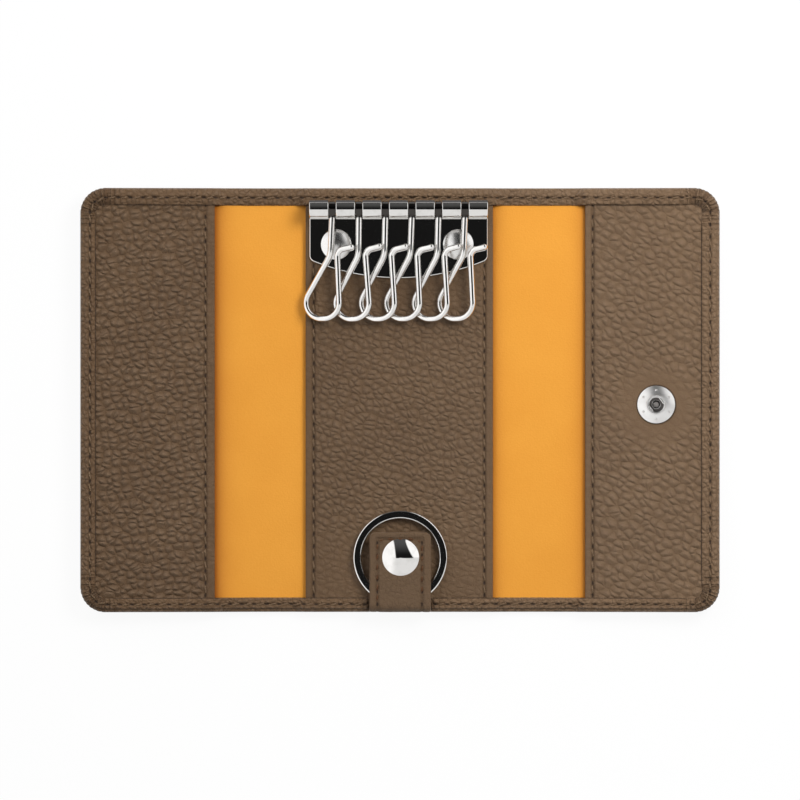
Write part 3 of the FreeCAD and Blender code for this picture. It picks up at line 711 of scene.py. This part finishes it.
random.seed(7)
for side, body in flaps.items():
    hull, stations = coverHalf(side)
    path, heights = [], []
    notchFrom, notchTo = cover["notch"]
    for st in stations:
        x, y = st["seamPoint"]
        if y < -case["endsFrom"] and notchFrom - cover["strapClear"] < x < notchTo + cover["strapClear"]:
            continue
        path.append((x, y))
        heights.append(hemTop(*st["p"]) - cover["hemSunk"])
    sewn = stitchMesh("hem_stitches_" + side, seamStitches(path, heights, cover["hemSlant"], case["pitch"]),
                      tonalThread)
    around = [st["seamPoint"] for st in stations]
    heights = [cover["outerHeight"]] * len(around)
    backSewn = stitchMesh("outer_stitches_" + side,
                          seamStitches(around, heights, cover["outerSlant"], case["pitch"]), tonalThread, facing=-1)
    for piece in (hull, sewn, backSewn):
        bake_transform(piece)
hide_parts("cover_left", "cover_centre")
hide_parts("cover_right")
print("cover and hem stitches done")


# Lining: one thin orange sheet, split at the middle under the centre panel


def liningHalf(side):
    sx = -1 if side == "left" else 1
    inset = case["inset"]
    edge, reach, r = abs(case[side]) - inset, case["head"] - inset, case["corner"] - inset
    bendFrom, bendTo = lining["bend"]
    nearRows, bendRows, farRows, cornerRows = lining["across"]
    corner = np.linspace(0, math.pi / 2 * lining["cornerTurn"], cornerRows)
    xs = np.concatenate([np.linspace(0, bendFrom, nearRows), np.linspace(bendFrom, bendTo, bendRows),
                         np.linspace(bendTo, edge - r, farRows), edge - r + r * np.sin(corner)])
    xs = sorted({round(x, 3) for x in xs.tolist()})      # each row once, where two runs meet
    ys = np.linspace(-1, 1, lining["along"])
    (wavyFrom, wavyTo), (waveX, waveY) = lining["wavy"], lining["waveScale"]
    strip = case["strips"][side]
    (darkA, wideA), (darkB, wideB) = lining["paintedShadeEdges"][side]
    points, rub = [], []
    for top in (True, False):
        for x in xs:
            half = reach
            if x > edge - r:
                half = reach - r + math.sqrt(max(0.0, r * r - (x - edge + r) ** 2))
            edgeA, edgeB = max(0.0, sx * x - strip[0]), max(0.0, strip[1] - sx * x)
            # painted shade, darkest at the panel edges on both sides of the strip
            dark = darkA * math.exp(-edgeA / wideA) + darkB * math.exp(-edgeB / wideB)
            for y in ys:
                z = case["liningTop"]
                if not top:
                    z -= lining["thick"]
                elif wavyFrom < x < wavyTo:
                    z += lining["wave"] * ripple(sx * x * waveX, y * half * waveY)
                points.append((sx * x, y * half, z))
                rub.append(dark if top else 0.0)
    rows, cols = len(xs), len(ys)
    base, last = rows * cols, (rows - 1) * cols
    faces = gridFaces(rows, cols) + turned(gridFaces(rows, cols, start=base), True)
    for c in range(cols - 1):                # walls: the outer side, then foot and head
        faces.append((last + c, last + c + 1, base + last + c + 1, base + last + c))
    for a in range(0, last, cols):
        b, far = a + cols, cols - 1
        faces.append((a, b, base + b, base + a))
        faces.append((a + far, base + a + far, base + b + far, b + far))
    return layMesh("lining_" + side + "_sheet", points, turned(faces, side == "right"), orange, rub=rub)


for side, body in flaps.items():
    sheet = liningHalf(side)
    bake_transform(sheet)
    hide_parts(*(("lining_left", "lining_centre") if side == "left" else ("lining_right",)))
print("lining done")


# Pockets and centre panel: leather slabs with a rounded, stitched free edge

hideShift = 0.3                      # the hide runs on round a panel's edge by this much of its height
snapOnHide = (case["snap"][0] + hideShift * case["panelTop"], case["snap"][1])

panels = {     # free edge, edge under the hem, underside, foot and head ends, stitch lines
    "left_pocket": {
        "free": -46.05, "far": -78.6, "bottom": 2.1, "ends": (-52.05, 52.05), "seam": (-48.38,), "body": "left_flap",
        "grain": {"cell": 1.6, "relief": 1.4, "creases": 0.36, "stretch": 1.35, "drift": 8, "tone": 1.15},
    },
    "right_pocket": {
        "free": 46.0, "far": 78.6, "bottom": 2.1, "ends": (-52.05, 52.05), "seam": (47.9,), "body": "right_flap",
        "grain": {"cell": 1.75, "relief": 0.97, "creases": 0.34, "stretch": 1.4, "drift": -28, "tone": 1.15,
                  "snap": snapOnHide},
        "press": (5.2, 0.8, 0.16),           # pressed in round the snap: at this radius, this wide, this deep
    },
    "centre_panel": {
        "free": -23.55, "far": 23.3, "bottom": 1.5, "ends": (-52.05, 51.55), "seam": (-21.55, 21.15), "body": "centre",
        "grain": {"cell": 1.5, "relief": 0.95, "creases": 0.32, "stretch": 1.3, "drift": -20, "tone": 1.08},
        "calm": ((-26.0, -42.0, 0.6), (19.0, 29.0, 0.6)),        # smoother from this y, to this one, by this much
        "bothFree": True,
    },
}

panelMake = {
    "nose": 0.42, "thin": 1.2,               # radius of a free edge; below this thickness it is a half-round
    "noseSteps": 8, "noseUnder": 0.05, "noseFoot": 0.25,
    "firstRow": 0.6, "rows": 150,
    "steps": ((0.9, 0.14), (3.0, 0.45), (99.0, 0.85)),           # up to this far from a seam, mesh steps this long
    "topFace": 0.05, "sewnFace": 0.5,        # mm below the top that still count as upper face, as stitched
    "ripple": 0.05, "rippleFrom": 0.5, "rippleFade": 4,          # starts this far from a free edge, full this much on
    "groove": 0.20, "grooveWidth": 0.28,
    "welt": 0.06, "weltAt": 1.0, "weltWidth": 0.6,               # pushed up beside the stitches
    "edgeGrain": 0.22, "edgeWide": 1.8, "edgeFade": 1.6,         # the pebble is weaker along a free edge
    "seamEnds": (-48.8, 48.4), "seamSlant": -0.20, "seamSunk": 0.17,
}


def edgeRound(free, inward, bottom, top):
    # nose of a free edge, from its underside to its top
    r, middle, thick = panelMake["nose"], (bottom + top) / 2, top - bottom
    bend = quarter(panelMake["noseSteps"])
    out = [(free + inward * panelMake["noseUnder"], bottom)]
    if thick < panelMake["thin"]:
        for a in [0.0] + [2 * q for q in bend]:
            out.append((free + inward * (r - r * math.sin(a)), middle - thick / 2 * math.cos(a)))
    else:
        out += [(free, bottom + panelMake["noseFoot"]), (free, middle)]
        for a in [0.0] + bend:
            out.append((free + inward * (r - r * math.cos(a)), top - r + r * math.sin(a)))
    return out


def panelSlab(name):
    p = panels[name]
    free, far, bottom, top = p["free"], p["far"], p["bottom"], case["panelTop"]
    bothFree = p.get("bothFree", False)
    inward = 1 if far > free else -1
    profile = edgeRound(free, inward, bottom, top)
    x = free + inward * panelMake["firstRow"]
    stop = far - inward * panelMake["firstRow"] if bothFree else far
    while (stop - x) * inward > 0:
        profile.append((x, top))
        close = min(abs(x - s) for s in p["seam"])
        x += inward * next(step for reach, step in panelMake["steps"] if close < reach)
    profile += edgeRound(far, -inward, bottom, top)[::-1] if bothFree else [(far, top), (far, bottom)]

    ys = np.linspace(*p["ends"], panelMake["rows"])
    r, weak = case["corner"] - case["inset"], panelMake["edgeGrain"]
    points, hide, seam, grain = [], [], [], []
    for y in ys:
        limit = abs(far)                     # a pocket follows the case's rounded corners
        over = abs(y) - (case["head"] - case["inset"] - r)
        if over > 0:
            limit = abs(far) - r + math.sqrt(max(0.0, r * r - over * over))
        calm = 1.0
        for start, full, less in p.get("calm", ()):
            calm *= 1 - less * smooth((y - start) / (full - start))
        for v, z in profile:
            if not bothFree:
                v = math.copysign(min(abs(v), limit), v)
            gap = min(abs(v - s) for s in p["seam"])
            fromEdge = min(abs(v - free), abs(v - far)) if bothFree else abs(v - free)
            if z > top - panelMake["topFace"]:
                loose = smooth((fromEdge - panelMake["rippleFrom"]) / panelMake["rippleFade"])
                z += panelMake["ripple"] * ripple(v, y) * loose
                z -= panelMake["groove"] * bell(gap, panelMake["grooveWidth"])
                z += panelMake["welt"] * bell(gap - panelMake["weltAt"], panelMake["weltWidth"])
                if "press" in p:
                    radius, wide, deep = p["press"]
                    z -= deep * bell(math.dist((v, y), case["snap"]) - radius, wide)
            points.append((v, y, z))
            hide.append((v + hideShift * z, y, 0))
            seam.append((y, gap if z > top - panelMake["sewnFace"] else noSeam, 0))
            full = smooth((fromEdge - panelMake["edgeWide"]) / panelMake["edgeFade"])
            grain.append((weak + (1 - weak) * full) * calm)
    faces = turned(tubeFaces(len(ys), len(profile)), inward < 0)
    pebbled = leatherMaterial(name + "_pebble", p["grain"])
    return layMesh(name + "_leather", points, faces, pebbled, hide=hide, seam=seam, grain=grain)


for name, p in panels.items():
    slab = panelSlab(name)
    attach(slab, p["body"])
    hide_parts(name)
    ys = np.arange(*panelMake["seamEnds"], case["pitch"] / 2)
    heights = [case["panelTop"] - panelMake["seamSunk"]] * len(ys)
    stitches = []
    for s in p["seam"]:
        stitches += seamStitches([(s, y) for y in ys], heights, panelMake["seamSlant"], case["pitch"])
    sewn = stitchMesh(name + "_stitches", stitches, tonalThread)
    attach(sewn, p["body"])
print("pockets and centre panel done")


# Strap: two plies that come out of the foot edge, turn over it and lie across the ring

strap = {
    "grain": {"cell": 1.2, "relief": 0.2, "creases": 0.3, "stretch": 1.2, "drift": 80, "tone": 0.93},
    "sideGrain": (0.8, 0.3, 1.2),            # how much pebble in the middle and along the sides, and how wide those are
    "x": 0.1, "width": 15.4, "end": -33.0, "corner": 1.5,
    "thick": 1.3, "round": 0.45,             # thickness and rounding of the two plies, and of the sewn root
    "rootThick": 0.6, "rootRound": 0.2, "roundFrom": 1.0,
    "root": (-46.2, -49.0, -51.2), "rootZ": 1.8, "rootBend": 1.05,
    "wall": -52.27, "wallZ": (3.4, 4.0, 4.6),         # where it stands up in front of the foot edge
    "bend": 1.27, "top": 6.35,
    "flat": (-50.4, -33.9),                  # where it lies straight, up to its nose
    "nose": 0.5, "noseThin": 0.35,
    "slit": 0.14,                            # line between the two plies
    "along": (8, 12, 44, 8),                 # mesh rows of the two bends, the straight run and the nose
    "across": (40, 12), "sides": 12,         # mesh columns on top and below, and round each side
    "hideAt": 40,                            # it is cut from a piece of hide of its own
    "topFace": 0.95, "sewnFace": 0.2,        # top, as a share of the half thickness; stitched, in mm above the middle
    "ripple": 0.05, "rippleScale": 2, "groove": 0.10, "grooveWidth": 0.3,
    "seamX": (-5.6, 5.55), "seamEnd": -34.7, "seamStart": -50.6, "seamTurn": 0.4,
    "pitch": 2.55, "seamSlant": 0.14, "seamSunk": 0.12,
    "bendFrom": 2.4, "bendTo": 5.9,          # heights between which the strap bends
}

strapLeather = leatherMaterial("strap_leather", strap["grain"])


def strapPath():
    # (y, z, thickness) along the middle of the leather
    thick, root, z = strap["thick"], strap["rootThick"], strap["rootZ"]
    rootRows, bendRows, flatRows, noseRows = strap["along"]
    path = [(y, z, root) for y in strap["root"]]
    r = strap["rootBend"]
    for k, a in enumerate(quarter(rootRows), 1):
        path.append((strap["root"][-1] - r * math.sin(a), z + r - r * math.cos(a),
                     root + (thick - root) * k / rootRows))
    path += [(strap["wall"], up, thick) for up in strap["wallZ"]]
    r, top = strap["bend"], strap["top"]
    for a in quarter(bendRows):
        path.append((strap["wall"] + r - r * math.cos(a), top - r + r * math.sin(a), thick))
    path += [(y, top, thick) for y in np.linspace(*strap["flat"], flatRows)]
    noseFrom = strap["flat"][1]
    path += [(noseFrom + (strap["end"] - noseFrom) * math.sin(a), top, thick) for a in quarter(noseRows)]
    return path


def strapRing(half, h, r):
    # once round the strap: top and right side, then underside and left side
    ring, sides = [], strap["sides"]
    for sign, count in zip((1, -1), strap["across"]):
        ring += [(sign * s, sign * h) for s in np.linspace(-half + r, half - r, count)]
        for k in range(1, sides):
            a = math.pi / 2 - math.pi * k / sides
            slit = strap["slit"] if k == sides // 2 else 0.0
            ring.append((sign * (half - r + r * math.cos(a) - slit), sign * h * math.sin(a)))
    return ring


def strapGap(x, y, lies):
    # distance from the stitch line, which runs up both sides and across below the end
    left, right = strap["seamX"]
    gap = min(abs(x - left), abs(x - right))
    between = left < x < right
    beyond = y - strap["seamEnd"]
    if lies and beyond > 0:
        return math.hypot(0 if between else gap, beyond)
    return min(gap, -beyond) if lies and between else gap


def strapMesh():
    path = strapPath()
    end, corner, nose = strap["end"], strap["corner"], strap["nose"]
    middleGrain, sideGrain, sideWidth = strap["sideGrain"]
    length = 0.0
    points, hide, seam, grain = [], [], [], []
    for i, (y, z, thick) in enumerate(path):
        ya, za = path[max(0, i - 1)][:2]
        yb, zb = path[min(len(path) - 1, i + 1)][:2]
        span = math.hypot(yb - ya, zb - za)
        ty, tz = (yb - ya) / span, (zb - za) / span
        if i:
            length += math.hypot(y - ya, z - za)
        half = strap["width"] / 2
        over = y - (end - corner)
        if over > 0:                         # rounded corners of the free end
            half -= corner - math.sqrt(max(0.0, corner ** 2 - min(over, corner) ** 2))
        slim = 1.0
        if y > end - nose:
            thin = strap["noseThin"]
            slim = thin + (1 - thin) * math.sqrt(max(0.0, 1 - ((y - end + nose) / nose) ** 2))
        h = thick / 2 * slim
        lies = z > strap["bendTo"] and y > strap["wall"] + strap["bend"]
        ring = strapRing(half, h, strap["round" if thick > strap["roundFrom"] else "rootRound"])
        for s, up in ring:
            x = strap["x"] + s
            gap = strapGap(x, y, lies)
            if up > h * strap["topFace"]:
                uneven = strap["ripple"] * ripple(x * strap["rippleScale"], length * strap["rippleScale"])
                up += (uneven - strap["groove"] * bell(gap, strap["grooveWidth"])) * slim
            points.append((x, y - tz * up, z + ty * up))
            hide.append((x + strap["hideAt"], length, 0))
            seam.append((length - strap["rootZ"], gap if up > strap["sewnFace"] else noSeam, 0))
            grain.append(middleGrain if abs(s) < half - sideWidth else sideGrain)
    return layMesh("strap_leather", points, tubeFaces(len(path), len(ring)), strapLeather,
                   hide=hide, seam=seam, grain=grain)


tongue = strapMesh()
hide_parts("strap_front", "strap_back", "strap_root")
(left, right), seamEnd, seamTurn = strap["seamX"], strap["seamEnd"], strap["seamTurn"]
seamRun = np.linspace(strap["seamStart"], seamEnd, 30)
seamPath = [(left, y) for y in seamRun]
seamPath += [(x, seamEnd) for x in np.linspace(left + seamTurn, right - seamTurn, 22)]
seamPath += [(right, y) for y in seamRun[::-1]]
heights = [strap["top"] + strap["thick"] / 2 - strap["seamSunk"]] * len(seamPath)
strapSewn = stitchMesh("strap_stitches", seamStitches(seamPath, heights, strap["seamSlant"], strap["pitch"]),
                       russetThread)
for piece in (tongue, strapSewn):
    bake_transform(piece)
print("strap done")


# Hardware keeps its CAD shape and takes a finish

ownFinish = {"key_plate": platePlated, "centre_board": greyBoard,
             "flap_snap_socket": socketPlated, "flap_snap_cap": eyeletPlated}


def finishFor(name):
    if name in ownFinish:
        return ownFinish[name]
    if name.endswith("spring"):
        return springSteel
    if name.startswith("hook"):
        return wirePlated
    if "rivet" in name or name.endswith("socket"):
        return satinPlated
    return plated


for name, ob in frame["nodes"].items():
    if ob.hide_render:
        continue
    ob.data.materials.clear()
    ob.data.materials.append(finishFor(name))
print("hardware finished")


# Table, light and camera, in metres

studio = {
    "floor": (0.97, 0.97, 0.97), "floorSpeck": (0.96, 0.96, 0.96), "floorRough": 0.9, "speckScale": 300.0,
    "floorGlow": 0.93, "floorHalf": 3.0, "floorZ": -0.00015,
    "fill": 0.32, "fillTilt": 0.5,           # soft light from all round, stronger from the head side
    "walls": (1.22, 0.90),                   # what polished metal mirrors: white above and to the left, greyer below
    "wallsAbove": (-0.10, 0.02), "wallsLeft": (-0.62, -0.22),
    "ceiling": (0.010, 0.09),                # and a dark patch overhead that reaches back to the head side
    "ceilingFade": (0.1, 0.95),
    "patch": {"low": (-0.085, -0.06), "left": -0.31, "leftLean": -0.08, "right": 0.72, "rightLean": -0.52,
              "soft": 0.035},
    "lamps": {                               # place, size, power
        "key_softbox": ((-0.62, 0.95, 0.85), 1.3, 9.4),
        "near_softbox": ((0.22, 0.18, 0.36), 0.2, 1.55),
    },
    "cameraHeight": 1.5, "view": 0.2, "sensor": 36.0, "clip": 20.0, "aim": (0.05, 0.02),     # aim in mm
}


def makeFloor():
    mesh = bpy.data.meshes.new("table")
    s, z = studio["floorHalf"], studio["floorZ"]
    mesh.from_pydata([(-s, -s, z), (s, -s, z), (s, s, z), (-s, s, z)], [], [(0, 1, 2, 3)])
    floor = bpy.data.objects.new("table", mesh)
    scene.collection.objects.link(floor)
    mat, tree, skin = newMaterial("table_white")
    speck = node(tree, "ShaderNodeTexNoise", Scale=studio["speckScale"], Detail=2.0).outputs["Fac"]
    dress(tree, skin, {"Base Color": mixColour(tree, speck, studio["floor"], studio["floorSpeck"]),
                       "Roughness": studio["floorRough"], "Specular IOR Level": 0.0})
    # seen directly or in the metal it is mostly plain white, so that the shadow stays faint
    path = node(tree, "ShaderNodeLightPath").outputs
    seen = mathNode(tree, "MAXIMUM", path["Is Camera Ray"], path["Is Glossy Ray"])
    seen = mathNode(tree, "MAXIMUM", seen, path["Is Transmission Ray"])
    white = node(tree, "ShaderNodeEmission", Strength=1.0)
    both = node(tree, "ShaderNodeMixShader")
    for socket, value in zip(both.inputs, (times(tree, seen, studio["floorGlow"]), skin.outputs[0], white.outputs[0])):
        plug(tree, socket, value)
    tree.links.new(both.outputs[0], tree.nodes["Material Output"].inputs["Surface"])
    mesh.materials.append(mat)


def makeSky():
    # bright all round, with the dark patch overhead that polished metal mirrors as black
    world = bpy.data.worlds.new("studio")
    scene.world = world
    world.use_nodes = True
    tree = world.node_tree
    way = node(tree, "ShaderNodeSeparateXYZ", Vector=node(tree, "ShaderNodeTexCoord").outputs["Generated"]).outputs
    x, y = way["X"], way["Y"]
    patch, soft = studio["patch"], studio["patch"]["soft"]
    inside = ramp(tree, y, *patch["low"])
    for side, ends in (("left", (0.0, 1.0)), ("right", (1.0, 0.0))):
        past = mathNode(tree, "SUBTRACT", x, times(tree, y, patch[side + "Lean"]))
        inside = times(tree, inside, ramp(tree, past, patch[side] - soft, patch[side] + soft, *ends))
    dark = ramp(tree, y, *studio["ceilingFade"], *studio["ceiling"])
    white, grey = studio["walls"]
    wall = mathNode(tree, "MAXIMUM", ramp(tree, y, *studio["wallsAbove"], grey, white),
                    ramp(tree, x, *studio["wallsLeft"], white, grey))
    room = mixColour(tree, inside, wall, dark)
    path = node(tree, "ShaderNodeLightPath").outputs
    mirrored = mathNode(tree, "MAXIMUM", path["Is Glossy Ray"], path["Is Transmission Ray"])
    fill, tilt = studio["fill"], studio["fillTilt"]
    tone = mixColour(tree, mirrored, ramp(tree, y, -1.0, 1.0, fill * (1 - tilt), fill * (1 + tilt)), room)
    tone = mixColour(tree, path["Is Camera Ray"], tone, (1.0, 1.0, 1.0))
    tree.links.new(tone, tree.nodes["Background"].inputs["Color"])


def addLamp(name, at, size, power):
    data = bpy.data.lights.new(name, "AREA")
    data.energy = power
    data.size = size
    lamp = bpy.data.objects.new(name, data)
    lamp.location = at
    lamp.rotation_euler = (-Vector(at)).to_track_quat("-Z", "Y").to_euler()      # aimed at the case
    lamp.visible_camera = False
    lamp.visible_glossy = False              # the nickel mirrors the room above, without hard lamp squares
    scene.collection.objects.link(lamp)


makeFloor()
makeSky()
for name, lamp in studio["lamps"].items():
    addLamp(name, *lamp)

camData = bpy.data.cameras.new("overhead")
camData.sensor_width = studio["sensor"]
# the view is to scale at the top of the leather
camData.lens = studio["sensor"] * (studio["cameraHeight"] - case["panelTop"] * mm) / studio["view"]
camData.clip_end = studio["clip"]
cam = bpy.data.objects.new("overhead", camData)
cam.location = (studio["aim"][0] * mm, studio["aim"][1] * mm, studio["cameraHeight"])
scene.collection.objects.link(cam)
scene.camera = cam
print("studio ready")
